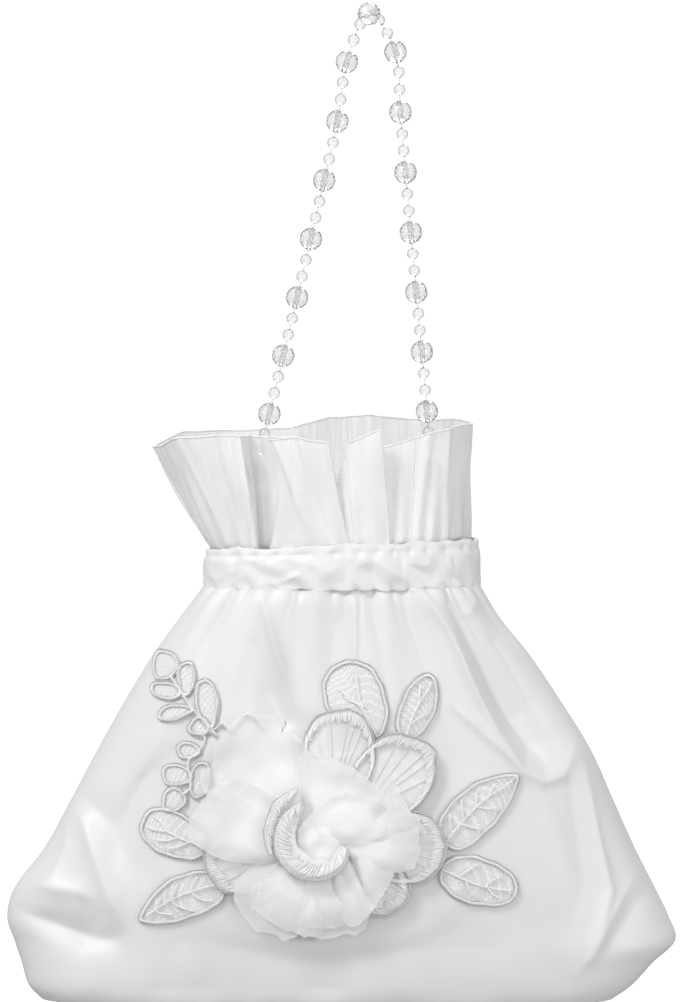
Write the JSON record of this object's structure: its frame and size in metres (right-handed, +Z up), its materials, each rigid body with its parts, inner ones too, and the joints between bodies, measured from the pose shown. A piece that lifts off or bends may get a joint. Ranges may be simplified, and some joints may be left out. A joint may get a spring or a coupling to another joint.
{
  "type": "bridal handbag",
  "caption": "White satin pouch handbag with a gathered neck, sheer organza ruffle, beaded loop handle and a raised lace rose with leaves on the front.",
  "frame": {"origin": "where the handle is held, at the underside of the bead at its peak", "axes": "+Z up along the hanging bag, +X to the right as its front is seen, the front at -Y"},
  "size_m": [0.2333, 0.0817, 0.3456],
  "materials": {
    "satin": "smooth bridal satin",
    "organza": "sheer organza",
    "bead_acrylic": "clear faceted acrylic on clear thread",
    "lace": "embroidered net edged with silver cord",
    "chiffon": "soft chiffon"
  },
  "bodies": {
    "root": {"pouch_front": "satin", "pouch_back": "satin", "pouch_base": "satin", "neck_casing": "satin", "organza_ruffle": "organza", "handle_strand": "bead_acrylic", "handle_bead_01": "bead_acrylic", "handle_bead_02": "bead_acrylic", "handle_bead_03": "bead_acrylic", "handle_bead_04": "bead_acrylic", "handle_bead_05": "bead_acrylic", "handle_bead_06": "bead_acrylic", "handle_bead_07": "bead_acrylic", "handle_bead_08": "bead_acrylic", "handle_bead_09": "bead_acrylic", "handle_bead_10": "bead_acrylic", "handle_bead_11": "bead_acrylic", "handle_bead_12": "bead_acrylic", "handle_bead_13": "bead_acrylic", "handle_bead_14": "bead_acrylic", "handle_bead_15": "bead_acrylic", "handle_bead_16": "bead_acrylic", "handle_bead_17": "bead_acrylic", "leaf_top_round": "lace", "leaf_top_oval": "lace", "leaf_right_upper": "lace", "leaf_right_lower": "lace", "leaf_left_upper": "lace", "leaf_left_lower": "lace", "fern_sprig": "lace", "curl_sprig": "lace", "rose_base": "lace", "rose_coil": "lace", "chiffon_petal_1": "chiffon", "chiffon_petal_2": "chiffon", "chiffon_petal_3": "chiffon", "chiffon_petal_4": "chiffon", "chiffon_petal_5": "chiffon", "chiffon_petal_6": "chiffon", "chiffon_petal_7": "chiffon", "rose_bud": "chiffon"}
  },
  "joints": []
}
